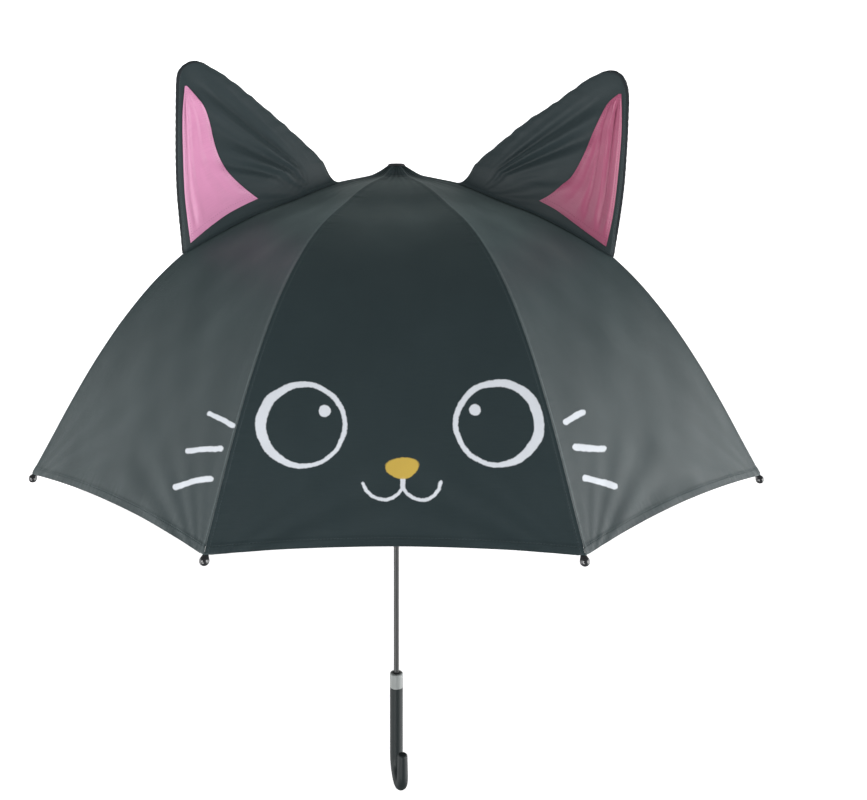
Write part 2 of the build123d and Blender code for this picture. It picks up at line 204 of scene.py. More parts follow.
def shell(name, P, N, thick, layers, smooth_rim=True):
    """A thin closed cloth from a grid P (rows, cols, 3), thickened inwards along -N."""
    rows, cols = P.shape[:2]
    outer, inner = P.reshape(-1, 3), (P - N * thick).reshape(-1, 3)
    n = rows * cols
    up = np.einsum("ijk,ijk->", np.cross(P[1:, :-1] - P[:-1, :-1], P[:-1, 1:] - P[:-1, :-1]), N[:-1, :-1])
    flip = up > 0          # faces must look along N
    faces = np.concatenate([grid_faces(rows, cols, 0, flip), grid_faces(rows, cols, n, not flip),
                            rim_faces(rows, cols, n)[:, ::-1] if flip else rim_faces(rows, cols, n)])
    normals = np.concatenate([N.reshape(-1, 3), -N.reshape(-1, 3)])
    uvs = [(k, np.concatenate([v.reshape(-1, 2)] * 2)) for k, v in layers]
    return make_object(name, np.concatenate([outer, inner]), faces, uvs, normals)


# ------------------------------------------------------------------ materials
class Tree:
    """Short names for building a material's nodes."""

    def __init__(self, name):
        self.m = bpy.data.materials.new(name)
        self.m.use_nodes = True
        self.t = self.m.node_tree
        self.bsdf = next(n for n in self.t.nodes if n.type == "BSDF_PRINCIPLED")

    def put(self, socket, value):
        if isinstance(value, bpy.types.NodeSocket):
            self.t.links.new(value, socket)
        elif isinstance(value, (tuple, list)) and socket.type == "RGBA" and len(value) == 3:
            socket.default_value = (*value, 1)
        else:
            socket.default_value = value

    def math(self, op, a, b=None, c=None, clamp=False):
        n = self.t.nodes.new("ShaderNodeMath")
        n.operation, n.use_clamp = op, clamp
        for i, v in enumerate((a, b, c)):
            if v is not None:
                self.put(n.inputs[i], v)
        return n.outputs[0]

    def vec(self, op, a, b=None, scale=None):
        n = self.t.nodes.new("ShaderNodeVectorMath")
        n.operation = op
        self.put(n.inputs[0], a)
        if b is not None:
            self.put(n.inputs[1], b)
        if scale is not None:
            self.put(n.inputs[3], scale)
        return n.outputs[1] if op in ("DOT_PRODUCT", "LENGTH", "DISTANCE") else n.outputs[0]

    def uv(self, layer):
        n = self.t.nodes.new("ShaderNodeUVMap")
        n.uv_map = layer
        return n.outputs[0]

    def split(self, v):
        n = self.t.nodes.new("ShaderNodeSeparateXYZ")
        self.put(n.inputs[0], v)
        return n.outputs

    def place(self, v, scale):
        return self.vec("MULTIPLY", v, tuple(scale))

    def noise(self, v, scale, detail=4.0, rough=0.55):
        n = self.t.nodes.new("ShaderNodeTexNoise")
        self.put(n.inputs["Vector"], v)
        n.inputs["Scale"].default_value = scale
        n.inputs["Detail"].default_value = detail
        n.inputs["Roughness"].default_value = rough
        return n.outputs[0]

    def noise_rgb(self, v, scale, detail=2.0):
        n = self.t.nodes.new("ShaderNodeTexNoise")
        self.put(n.inputs["Vector"], v)
        n.inputs["Scale"].default_value = scale
        n.inputs["Detail"].default_value = detail
        return n.outputs[1]

    def object_coords(self):
        return self.t.nodes.new("ShaderNodeTexCoord").outputs["Object"]

    def mix(self, f, a, b):
        n = self.t.nodes.new("ShaderNodeMix")
        n.data_type = "RGBA"
        self.put(n.inputs[0], f)
        self.put(n.inputs[6], a)
        self.put(n.inputs[7], b)
        return n.outputs[2]

    def fit(self, v, a0, a1, b0, b1):
        n = self.t.nodes.new("ShaderNodeMapRange")
        self.put(n.inputs[0], v)
        for i, x in enumerate((a0, a1, b0, b1)):
            n.inputs[i + 1].default_value = x
        return n.outputs[0]

    def bump(self, height, distance, strength=1.0):
        n = self.t.nodes.new("ShaderNodeBump")
        n.inputs["Strength"].default_value = strength
        n.inputs["Distance"].default_value = distance
        self.put(n.inputs["Height"], height)
        self.t.links.new(n.outputs[0], self.bsdf.inputs["Normal"])
        return n.outputs[0]

    def set(self, **values):
        names = {"color": "Base Color", "rough": "Roughness", "metal": "Metallic", "sheen": "Sheen Weight",
                 "sheen_rough": "Sheen Roughness", "sheen_tint": "Sheen Tint", "coat": "Coat Weight",
                 "coat_rough": "Coat Roughness", "spec": "Specular IOR Level", "ior": "IOR"}
        for k, v in values.items():
            self.put(self.bsdf.inputs[names[k]], v)
        return self.m


def capsule(t, p, a, b, r, soft):
    """Mask of a thick line from a to b in the picture's coordinates."""
    ba = (b[0] - a[0], b[1] - a[1])
    n = ba[0] ** 2 + ba[1] ** 2
    pa = t.vec("SUBTRACT", p, (a[0], a[1], 0))
    h = t.math("MULTIPLY", t.vec("DOT_PRODUCT", pa, (ba[0], ba[1], 0)), 1 / n, clamp=True)
    d = t.vec("LENGTH", t.vec("SUBTRACT", pa, t.vec("SCALE", (ba[0], ba[1], 0), scale=h)))
    return t.math("MULTIPLY_ADD", t.math("SUBTRACT", r, d), 1 / soft, 0.5, clamp=True)


def oval(t, p, c, r, soft):
    """Mask of an ellipse."""
    q = t.vec("MULTIPLY", t.vec("SUBTRACT", p, (c[0], c[1], 0)), (1 / r[0], 1 / r[1], 0))
    d = t.vec("LENGTH", q)
    return t.math("MULTIPLY_ADD", t.math("SUBTRACT", 1.0, d), min(r) / soft, 0.5, clamp=True)


def circle_through(a, b, c):
    ax, ay, bx, by, cx, cy = *a, *b, *c
    d = 2 * (ax * (by - cy) + bx * (cy - ay) + cx * (ay - by))
    ux = ((ax * ax + ay * ay) * (by - cy) + (bx * bx + by * by) * (cy - ay) + (cx * cx + cy * cy) * (ay - by)) / d
    uy = ((ax * ax + ay * ay) * (cx - bx) + (bx * bx + by * by) * (ax - cx) + (cx * cx + cy * cy) * (bx - ax)) / d
    return (ux, uy), math.hypot(ax - ux, ay - uy)


def chain(a, mid, b, n=7):
    """Points along the arc through three points."""
    (cx, cy), r = circle_through(a, mid, b)
    t0, tm, t1 = (math.atan2(q[1] - cy, q[0] - cx) for q in (a, mid, b))
    while tm - t0 > math.pi: tm -= 2 * math.pi
    while tm - t0 < -math.pi: tm += 2 * math.pi
    while t1 - tm > math.pi: t1 -= 2 * math.pi
    while t1 - tm < -math.pi: t1 += 2 * math.pi
    return [(cx + r * math.cos(t0 + (t1 - t0) * k / n), cy + r * math.sin(t0 + (t1 - t0) * k / n)) for k in range(n + 1)]


def strokes(t, p, points, r, soft):
    mask = None
    for a, b in zip(points, points[1:]):
        one = capsule(t, p, a, b, r, soft)
        mask = one if mask is None else t.math("MAXIMUM", mask, one)
    return mask


CLOTH = (0.0172, 0.0272, 0.0302)
SOFT = 1.1


def cloth_material(name, color, printed=None, sheen=0.34, rough=0.42, spec=0.20, seam=0.45):
    """Plain-woven coated polyester with sewn edges. UVMap is (across, along) in metres and
    Edge is (distance from the side seam, distance from the hem) in metres."""
    t = Tree(name)
    uv = t.uv("UVMap")
    x, s, _ = t.split(uv)
    side, hem, _ = t.split(t.uv("Edge"))
    # weave: warp and weft threads 0.36 mm apart
    warp = t.math("SINE", t.math("MULTIPLY", x, 2 * math.pi / 0.00036))
    weft = t.math("SINE", t.math("MULTIPLY", s, 2 * math.pi / 0.00036))
    weave = t.math("MULTIPLY", warp, weft)
    # slack, creases and cloudy patches of lighter and darker tone at random
    broad = t.noise(t.place(uv, (1, 1, 1)), 9.0, 3.0)
    fine = t.noise(t.place(uv, (1, 0.45, 1)), 60.0, 5.0)
    slub = t.noise(t.place(uv, (1, 28, 1)), 55.0, 2.0)
    # thread pitch 2.6 mm, 0.5 mm wide, 3 mm in from the side seam and 6.5 mm up from the hem
    def stitch(d, at, along):
        line = t.math("MULTIPLY_ADD", t.math("SUBTRACT", 0.00035, t.math("ABSOLUTE", t.math("SUBTRACT", d, at))), 1 / 0.0003, 0.5, clamp=True)
        dash = t.math("MULTIPLY_ADD", t.math("SINE", t.math("MULTIPLY", along, 2 * math.pi / 0.0026)), 2.5, 1.2, clamp=True)
        return t.math("MULTIPLY", line, dash), line
    st1, groove1 = stitch(side, 0.0030, s)
    st2, groove2 = stitch(hem, 0.0065, x)
    thread = t.math("MAXIMUM", st1, st2)
    groove = t.math("MAXIMUM", groove1, groove2)
    # puckers that run away from the sewn lines and die out in about 15 mm
    fade = t.math("MULTIPLY", t.fit(side, 0.0, 0.016, 1.0, 0.0), 1.0, clamp=True)
    fade2 = t.math("MULTIPLY", t.fit(hem, 0.0, 0.020, 1.0, 0.0), 1.0, clamp=True)
    puck = t.math("MULTIPLY", t.noise(t.place(uv, (0.12, 1, 1)), 170.0, 1.0), fade)
    puck2 = t.math("MULTIPLY", t.noise(t.place(uv, (1, 0.12, 1)), 150.0, 1.0), fade2)
    base = t.mix(broad, tuple(c * 0.90 for c in color), tuple(c * 1.12 for c in color))
    base = t.mix(t.math("MULTIPLY", t.fit(slub, 0.35, 0.75, 0.0, 1.0), 0.16), base, tuple(c * 1.7 for c in color))
    base = t.mix(t.math("MULTIPLY", thread, seam), base, tuple(c * 2.0 + 0.004 for c in color))
    # painted shade: the stitch groove between the thread dashes is darkened towards half the cloth colour
    base = t.mix(t.math("MULTIPLY", t.math("SUBTRACT", groove, thread, clamp=True), 0.5), base, tuple(c * 0.5 for c in color))
    roughness = t.fit(fine, 0.2, 0.8, rough - 0.05, rough + 0.06)
    sheen_socket = sheen
    if sheen > 0.3:
        # painted shade and painted sheen: the sheen drops to 0.42 of its weight around the crown to darken it and rises
        # to 1.3 times towards the hem to brighten it, with random cloudy changes on top
        wear_and_painted_shade = t.math("MULTIPLY_ADD", t.math("MULTIPLY_ADD", s, 1 / 0.22, -0.02 / 0.22, clamp=True), 0.58, 0.42)
        full = t.math("MULTIPLY_ADD", t.math("MULTIPLY_ADD", s, 1 / 0.18, -0.28 / 0.18, clamp=True), 0.30, 1.0)
        cloud = t.fit(broad, 0.30, 0.70, 0.84, 1.18)
        sheen_socket = t.math("MULTIPLY", t.math("MULTIPLY", t.math("MULTIPLY", wear_and_painted_shade, full), cloud), sheen)
    if printed:
        p = t.vec("SCALE", t.uv("Face"), scale=1000.0)
        p = t.vec("ADD", p, t.vec("SCALE", t.vec("SUBTRACT", t.noise_rgb(p, 0.045, 1.0), (0.5, 0.5, 0.5)), scale=3.6))
        p = t.vec("ADD", p, t.vec("SCALE", t.vec("SUBTRACT", t.noise_rgb(p, 0.30, 2.0), (0.5, 0.5, 0.5)), scale=1.5))
        for mask, ink in printed(t, p):
            grain = t.math("MULTIPLY", t.fit(t.math("MULTIPLY_ADD", weave, 0.25, fine), 0.1, 0.8, 0.90, 1.0), mask)
            base = t.mix(grain, base, ink)
            roughness = t.math("MULTIPLY_ADD", mask, 0.12, roughness)
    height = t.math("MULTIPLY", weave, 0.06)
    height = t.math("MULTIPLY_ADD", fine, 0.5, height)
    height = t.math("MULTIPLY_ADD", puck, 2.6, height)
    height = t.math("MULTIPLY_ADD", puck2, 2.6, height)
    height = t.math("MULTIPLY_ADD", thread, 0.7, height)
    height = t.math("MULTIPLY_ADD", groove, -1.0, height)
    t.bump(height, 0.00025, 0.9)
    return t.set(color=base, rough=roughness, sheen=sheen_socket, sheen_rough=0.42,
                 sheen_tint=(0.60, 0.76, 0.75, 1), spec=spec)


WHITE, GOLD = (0.60, 0.63, 0.675), (0.50, 0.345, 0.062)


def face_print(t, p):
    white = None
    for c, r, ci, ri, dot in (
            ((301.4, 424.8), (45.7, 43.5), (304.3, 425.4), (38.2, 38.0), (324.9, 410.9)),
            ((498.9, 423.3), (45.6, 43.9), (496.4, 424.1), (37.6, 38.0), (474.9, 409.7))):
        ring = t.math("SUBTRACT", oval(t, p, c, r, SOFT), oval(t, p, ci, ri, SOFT), clamp=True)
        both = t.math("MAXIMUM", ring, oval(t, p, dot, (5.8, 5.8), SOFT))
        white = both if white is None else t.math("MAXIMUM", white, both)
    left = chain((402.6, 487.5), (383.2, 499.4), (363.8, 483.5))
    right = chain((403.4, 487.5), (423.3, 499.4), (440.6, 482.3))
    white = t.math("MAXIMUM", white, strokes(t, p, left, 1.75, SOFT))
    white = t.math("MAXIMUM", white, strokes(t, p, right, 1.75, SOFT))
    white = t.math("MAXIMUM", white, capsule(t, p, (403, 479), (403, 487.8), 2.6, SOFT))
    # nose: flat-topped, drawn in below
    _, py, _ = t.split(p)
    upper = t.math("LESS_THAN", py, 465.6)
    top = oval(t, p, (402.3, 465.6), (16.6, 7.8), SOFT)
    low = oval(t, p, (402.3, 465.6), (16.6, 12.9), SOFT)
    nose = t.math("ADD", t.math("MULTIPLY", top, upper), t.math("MULTIPLY", low, t.math("SUBTRACT", 1.0, upper)))
    return [(white, WHITE), (nose, GOLD)]


def left_whiskers(t, p):
    w = capsule(t, p, (209.5, 413.2), (233, 424.6), 2.6, SOFT)
    w = t.math("MAXIMUM", w, capsule(t, p, (188.3, 450.5), (220.5, 448.7), 2.8, SOFT))
    w = t.math("MAXIMUM", w, strokes(t, p, chain((175.6, 487.2), (194, 481.3), (210.6, 478.1), 4), 2.8, SOFT))
    return [(w, WHITE)]


def right_whiskers(t, p):
    w = capsule(t, p, (565.6, 422.2), (582.8, 412.1), 3.0, SOFT)
    w = t.math("MAXIMUM", w, capsule(t, p, (576, 447.2), (603, 449.1), 3.2, SOFT))
    w = t.math("MAXIMUM", w, strokes(t, p, chain((585, 478.4), (600, 481.4), (615, 485.8), 4), 3.2, SOFT))
    return [(w, WHITE)]


def metal_material(name, color, rough, metal=1.0, scratch=0.25, coat=0.0):
    """Drawn or enamelled steel: fine lengthwise marks and a little wear."""
    t = Tree(name)
    v = t.object_coords()
    long = t.noise(t.place(v, (900, 900, 25)), 1.0, 3.0)
    patch = t.noise(v, 140.0, 4.0)
    wear_and_painted_shade = t.fit(t.noise(v, 420.0, 6.0, 0.7), 0.62, 0.72, 0.0, scratch)
    base = t.mix(patch, tuple(c * 0.85 for c in color), tuple(min(1, c * 1.15) for c in color))
    base = t.mix(wear_and_painted_shade, base, tuple(min(1, c * 2.2 + 0.05) for c in color))
    t.bump(long, 0.00004, 0.5)
    return t.set(color=base, rough=t.fit(long, 0.2, 0.8, rough - 0.06, rough + 0.10), metal=metal, coat=coat, coat_rough=0.12)


def plastic_material(name, color, rough, coat=0.3, orange=0.00006, spec=0.5):
    """Moulded plastic: faint flow marks, orange peel, fingerprints in the gloss."""
    t = Tree(name)
    v = t.object_coords()
    peel = t.noise(v, 900.0, 2.0)
    flow = t.noise(t.place(v, (1, 1, 0.25)), 60.0, 3.0)
    smear = t.noise(v, 120.0, 6.0, 0.65)
    base = t.mix(flow, tuple(c * 0.88 for c in color), tuple(c * 1.12 for c in color))
    t.bump(peel, orange, 0.5)
    return t.set(color=base, rough=t.fit(smear, 0.3, 0.75, rough - 0.05, rough + 0.12), coat=coat, coat_rough=rough * 0.5, spec=spec)


M = {
    "cloth": cloth_material("canopy_cloth", CLOTH),
    "face": cloth_material("canopy_cloth_face", CLOTH, face_print),
    "whisk_l": cloth_material("canopy_cloth_whiskers_left", CLOTH, left_whiskers),
    "whisk_r": cloth_material("canopy_cloth_whiskers_right", CLOTH, right_whiskers),
    "ear": cloth_material("ear_cloth", (0.0200, 0.0300, 0.0330), sheen=0.22, rough=0.48),
    # one pink satin in two copies: the left ear's lighter copy is painted light, the right ear's darker copy with less
    # sheen is painted shade
    "pink": cloth_material("ear_pink_satin", (0.530, 0.218, 0.365), sheen=0.10, rough=0.34, spec=0.4, seam=0.12),
    "pink_painted_shade_right": cloth_material("ear_pink_satin_right_painted_shade", (0.300, 0.072, 0.135), sheen=0.03, rough=0.34, spec=0.30, seam=0.12),
    "binding": cloth_material("ear_binding_tape", (0.012, 0.016, 0.019), sheen=0.15, rough=0.6),
    "black_steel": metal_material("black_enamelled_steel", (0.011, 0.0125, 0.0135), 0.36, metal=0.0, coat=0.12),
    "bright_steel": metal_material("bright_spring_steel", (0.62, 0.62, 0.63), 0.28),
    "rib_steel": metal_material("rib_steel_blackened", (0.045, 0.046, 0.05), 0.36, metal=0.7),
    "black_plastic": plastic_material("handle_black_plastic", (0.0125, 0.0170, 0.0178), 0.46, coat=0.04, spec=0.22),
    "tip_plastic": plastic_material("tip_black_gloss_plastic", (0.018, 0.019, 0.021), 0.14, coat=0.6),
    "runner_plastic": plastic_material("runner_black_plastic", (0.022, 0.023, 0.024), 0.38),
    "grey_plastic": plastic_material("collar_grey_plastic", (0.200, 0.214, 0.211), 0.42, coat=0.05),
}


def finish_cloth(obj, mat):
    obj.data.materials.append(M[mat])


# ------------------------------------------------------------------ canopy panels
COLS = 81
ROWS = {"top": 28, "panel": 42, "hem": 76}
S_TOP = float(np.interp(81.2, LINE[:, 0], STEP))      # the cloth gathers less above this line
LIFT = 7.2                                   # the hem rises this much between two tips
THREAD_T = 0.45


def panel_points(k, s, v):
    """Rest shape of panel k at distance s down the rib line and share v across (-1 to 1)."""
    r, z = line_at(s)
    m, half = r * math.cos(HALF), r * math.sin(HALF)
    t = v * half
    e = 1.0
    r1, z1 = line_at(np.clip(s + e, 0, TOTAL))
    r0, z0 = line_at(np.clip(s - e, 0, TOTAL))
    dr, dz = (r1 - r0) * math.cos(HALF), z1 - z0
    n = np.hypot(dr, dz)
    nm, nz = -dz / n, dr / n                 # outward normal in the middle plane
    share = s / TOTAL
    # cloth drawn straight between ribs sinks slightly, most in the lower half
    belly = (1 - v * v)
    sink = -4.2 * belly * np.sin(np.pi * np.clip(share, 0, 1)) ** 1.2
    # the seam stands up as a narrow felled ridge, the hem as a turned double edge
    edge = half - np.abs(t)
    ridge = 0.30 * np.clip((4.2 - edge) / 1.8, 0, 1) * np.clip(share * 12, 0, 1)
    hem_d = (TOTAL - LIFT * (1 - v * v)) - s
    fold = 0.45 * np.clip((8.0 - hem_d) / 0.9, 0, 1)
    # slow unevenness, different in each panel, and drag lines into the two corners
    seed = k * 1.7
    wave = (0.55 * np.sin(t * 0.043 + s * 0.021 + seed) * np.sin(s * 0.031 - t * 0.017 + 2 * seed)
            + 0.28 * np.sin(t * 0.11 + seed * 3) * np.sin(s * 0.06 + seed)) * belly
    ax, ay = np.abs(t), s
    ang = np.arctan2(half - ax, np.maximum(TOTAL + 14 - s, 1))
    near = np.exp(-((TOTAL - s) / 70.0) ** 2) * belly * np.clip(edge / 12, 0, 1)
    drag = 0.5 * np.sin(ang * 21 + seed) * near
    near_top = np.exp(-(s / 60.0) ** 2)
    gather = 0.35 * np.sin(v * 17 + seed) * near_top * belly
    out = sink + ridge + fold + wave + drag + gather
    if k in (1, 2, 8):
        pass
    m, z = m + nm * out, z + nz * out
    a = math.radians(-90 + 45 * (k - 1))
    c, sn = math.cos(a), math.sin(a)
    return np.stack([m * c - t * sn, m * sn + t * c, z + RIM_Z], -1), t, half, edge, hem_d


made = {}
for k in range(1, 9):
    v = np.linspace(-1, 1, COLS)
    # finer columns beside the seams, so that the ridge has a clean step
    v = np.sign(v) * (1 - (1 - np.abs(v)) ** 1.25)
    for part, rows in ROWS.items():
        w = np.linspace(0, 1, rows)
        if part == "hem":
            w = 1 - (1 - w) ** 1.12
        V, Wg = np.meshgrid(v, w)
        if part == "top":
            S = S_TOP * Wg
        elif part == "panel":
            S = S_TOP + (S_FLEX - S_TOP) * Wg
        else:
            end = TOTAL - LIFT * (1 - V * V)
            S = S_FLEX + (end - S_FLEX) * Wg
        P, t, half, edge, hem_d = panel_points(k, S, V)
        # normals from the whole panel's shape, so that the two pieces shade as one
        e = 0.8
        Pa = panel_points(k, np.clip(S + e, 0, TOTAL), V)[0]
        Pb = panel_points(k, np.clip(S - e, 0, TOTAL), V)[0]
        dv = 0.004
        Pc = panel_points(k, S, np.clip(V + dv, -1, 1))[0]
        Pd = panel_points(k, S, np.clip(V - dv, -1, 1))[0]
        N = np.cross(Pc - Pd, Pa - Pb)
        N /= np.maximum(np.linalg.norm(N, axis=-1, keepdims=True), 1e-9)
        a = math.radians(-90 + 45 * (k - 1))
        out = np.array([math.cos(a), math.sin(a), 0.6])
        if (N @ out).mean() < 0:
            N = -N
        P[..., :] = P
        layers = [("UVMap", np.stack([t * MM, S * MM], -1)),
                  ("Edge", np.stack([edge * MM, hem_d * MM], -1))]
        if k in (1, 2, 8) and part == "hem":
            px = to_pixel(P.reshape(-1, 3)).reshape(P.shape[0], P.shape[1], 2)
            layers.append(("Face", px / 1000.0))
        name = f"canopy_{ {'top': 'crown', 'panel': 'upper', 'hem': 'lower'}[part] }_{k}"
        obj = shell(name, P, N, THREAD_T, layers)
        mat = {1: "face", 2: "whisk_r", 8: "whisk_l"}.get(k, "cloth") if part == "hem" else "cloth"
        finish_cloth(obj, mat)
        area = float(np.linalg.norm(np.cross(P[1:, :-1] - P[:-1, :-1], P[:-1, 1:] - P[:-1, :-1]), axis=-1).sum()) * 1e-6
        width = float(np.abs(t).max()) * 2 * MM
        length = float((S.max() - S.min())) * MM
        made[name] = (width, length, area)
        node = f"{'hem' if part == 'hem' else 'panel'}_{k}"
        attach(obj, node)
        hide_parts(node)
        tang = (-math.sin(a), math.cos(a), 0)
        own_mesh(obj)
print("canopy cloth", {k: tuple(round(x, 4) for x in v) for k, v in made.items() if k.endswith("_1")})

# ------------------------------------------------------------------ ribs
PIVOT_R, PIVOT_H = 8.0, 281.3
RIB_H, RIB_W = 2.2, 2.8
norm_off = -(1.0 + 0.4) / math.cos(HALF) - 0.75 - RIB_H / 2
d = np.gradient(LINE, axis=0)
nrm = np.c_[-d[:, 1], d[:, 0]] / np.hypot(d[:, 0], d[:, 1])[:, None]
UNDER = LINE + nrm * norm_off
UNDER = UNDER[(UNDER[:, 0] > 45) & (UNDER[:, 0] < 371.5)]
RIB = np.vstack([[(PIVOT_R, PIVOT_H), (13.0, 281.0), (18.0, 280.5), (24, 279.8), (30.0, 279.0), (38, 277.9)], UNDER])
flex_z = float(np.interp(FLEX_R, RIB[:, 0], RIB[:, 1]))
rs = np.r_[0, np.cumsum(np.hypot(*np.diff(RIB, axis=0).T))]
samples = np.linspace(0, rs[-1], 120)
RIBF = np.c_[np.interp(samples, rs, RIB[:, 0]), np.interp(samples, rs, RIB[:, 1])]
# light smoothing of the joined line
for _ in range(6):
    RIBF[1:-1] = 0.25 * RIBF[:-2] + 0.5 * RIBF[1:-1] + 0.25 * RIBF[2:]


def turn(points, deg):
    a = math.radians(deg)
    c, s = math.cos(a), math.sin(a)
    p = np.asarray(points, float)
    return np.stack([p[..., 0] * c - p[..., 1] * s, p[..., 0] * s + p[..., 1] * c, p[..., 2]], -1)


def sweep(name, line, section, cap=True):
    """Sweeps a section [(across, up)] along a line of (radius, height) in the plane y = 0."""
    line = np.asarray(line, float)
    tan = np.gradient(line, axis=0)
    tan /= np.hypot(tan[:, 0], tan[:, 1])[:, None]
    nor = np.c_[-tan[:, 1], tan[:, 0]]
    sec = np.asarray(section(0) if callable(section) else section, float)
    rows, cols = len(line), len(sec)
    pts = np.empty((rows, cols, 3))
    for i in range(rows):
        sec = np.asarray(section(i / (rows - 1)) if callable(section) else section, float)
        pts[i, :, 0] = line[i, 0] + nor[i, 0] * sec[:, 1]
        pts[i, :, 1] = sec[:, 0]
        pts[i, :, 2] = line[i, 1] + nor[i, 1] * sec[:, 1] + RIM_Z
    faces = []
    for i in range(rows - 1):
        for j in range(cols):
            a, b = i * cols + j, i * cols + (j + 1) % cols
            faces.append((a, b, b + cols, a + cols))
    if cap:
        faces.append(tuple(range(cols)))
        faces.append(tuple(range((rows - 1) * cols, rows * cols))[::-1])
    return pts.reshape(-1, 3), faces


def rib_section(q):
    """U channel with rolled lips; flattened to a blade at the pivot end."""
    w, h, th = RIB_W / 2, RIB_H / 2, 0.55
    f = min(1.0, max(0.0, (q - 0.02) / 0.012))
    w = 0.8 + (w - 0.8) * f
    h0 = 0.95 + (h - 0.95) * f
    inner = max(w - th, 0.15)
    deep = h0 - 0.6 if f > 0.5 else -h0 + 0.02
    return [(-w, h0 - 0.3), (-w + 0.3, h0), (w - 0.3, h0), (w, h0 - 0.3), (w, -h0 + 0.1), (w - 0.2, -h0),
            (inner, -h0), (inner, deep - 0.25), (inner - 0.2, deep), (-inner + 0.2, deep), (-inner, deep - 0.25),
            (-inner, -h0), (-w + 0.2, -h0), (-w, -h0 + 0.1)]


def disc_ring(c, r_out, r_in, half_w, seg=20):
    """A flat eye in the rib plane: centre (radius, height), outer and inner radius."""
    pts, faces = [], []
    for y in (-half_w, half_w):
        for r in (r_out, r_in):
            for i in range(seg):
                a = 2 * math.pi * i / seg
                pts.append((c[0] + r * math.cos(a), y, c[1] + r * math.sin(a) + RIM_Z))
    o0, i0, o1, i1 = 0, seg, 2 * seg, 3 * seg
    for i in range(seg):
        j = (i + 1) % seg
        faces += [(o0 + i, o0 + j, i0 + j, i0 + i), (o1 + j, o1 + i, i1 + i, i1 + j),
                  (o0 + j, o0 + i, o1 + i, o1 + j), (i0 + i, i0 + j, i1 + j, i1 + i)]
    return np.array(pts), faces


before, after = np.interp(FLEX_R - 3, RIB[:, 0], RIB[:, 1]), np.interp(FLEX_R + 3, RIB[:, 0], RIB[:, 1])
slope = math.hypot(6, after - before)
JOINT = (FLEX_R + (after - before) / slope * 4.0, flex_z - 6 / slope * 4.0)


def merge(parts):
    pts, faces, base = [], [], 0
    for p, f in parts:
        pts.append(np.asarray(p, float))
        faces += [tuple(int(x) + base for x in q) for q in f]
        base += len(p)
    return np.vstack(pts), faces


def prism(poly, y0, y1):
    """A plate in the rib plane from a (radius, height) outline."""
    n = len(poly)
    pts = [(a, y, b + RIM_Z) for y in (y0, y1) for a, b in poly]
    faces = [tuple(range(n))[::-1], tuple(range(n, 2 * n))]
    faces += [(i, (i + 1) % n, n + (i + 1) % n, n + i) for i in range(n)]
    return np.array(pts), faces


def rivet(c, r, half_w, seg=20):
    """Round pin across the rib plane with domed heads."""
    prof = [(-half_w - 0.75, 0.0), (-half_w - 0.65, r * 0.9), (-half_w - 0.3, r * 1.55), (-half_w, r * 1.6), (-half_w, r),
            (half_w, r), (half_w, r * 1.6), (half_w + 0.3, r * 1.55), (half_w + 0.65, r * 0.9), (half_w + 0.75, 0.0)]
    pts, faces = [], []
    for y, q in prof:
        for i in range(seg):
            a = 2 * math.pi * i / seg
            pts.append((c[0] + q * math.cos(a), y, c[1] + q * math.sin(a) + RIM_Z))
    for i in range(len(prof) - 1):
        for j in range(seg):
            faces.append((i * seg + j, i * seg + (j + 1) % seg, (i + 1) * seg + (j + 1) % seg, (i + 1) * seg + j))
    return np.array(pts), faces


ra, rb = (FLEX_R - 5, float(np.interp(FLEX_R - 5, RIB[:, 0], RIB[:, 1]))), (FLEX_R + 5, float(np.interp(FLEX_R + 5, RIB[:, 0], RIB[:, 1])))
cheek = [(ra[0] + 0.2, ra[1] + 0.5), (rb[0] + 0.2, rb[1] + 0.5), (JOINT[0] + 2.2, JOINT[1] - 0.6),
         (JOINT[0] + 1.5, JOINT[1] - 1.5), (JOINT[0] + 0.2, JOINT[1] - 2.0), (JOINT[0] - 1.2, JOINT[1] - 1.5), (JOINT[0] - 1.9, JOINT[1] - 0.6)]
rib_parts = merge([
    sweep("rib", RIBF[2:], rib_section),
    disc_ring((PIVOT_R, PIVOT_H), 1.5, 0.55, 0.8),
    prism(cheek, -2.1, -1.42), prism(cheek, 1.42, 2.1),
    rivet(JOINT, 0.8, 2.1),
])
for i in range(8):
    az = -112.5 + 45 * i
    obj = make_object(f"rib_channel_{i + 1}", turn(rib_parts[0], az), rib_parts[1], smooth=False)
    bm = bmesh.new()
    bm.from_mesh(obj.data)
    bmesh.ops.recalc_face_normals(bm, faces=bm.faces)
    bm.to_mesh(obj.data)
    bm.free()
    obj.data.polygons.foreach_set("use_smooth", [True] * len(obj.data.polygons))
    obj.data.set_sharp_from_angle(angle=math.radians(35))
    obj.data.materials.append(M["rib_steel"])
    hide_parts(f"rib_{i + 1}")
    c, s = math.cos(math.radians(az)), math.sin(math.radians(az))
    a = (150 * c * MM, 150 * s * MM, (RIM_Z + np.interp(150, RIB[:, 0], RIB[:, 1])) * MM)
    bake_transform(obj)

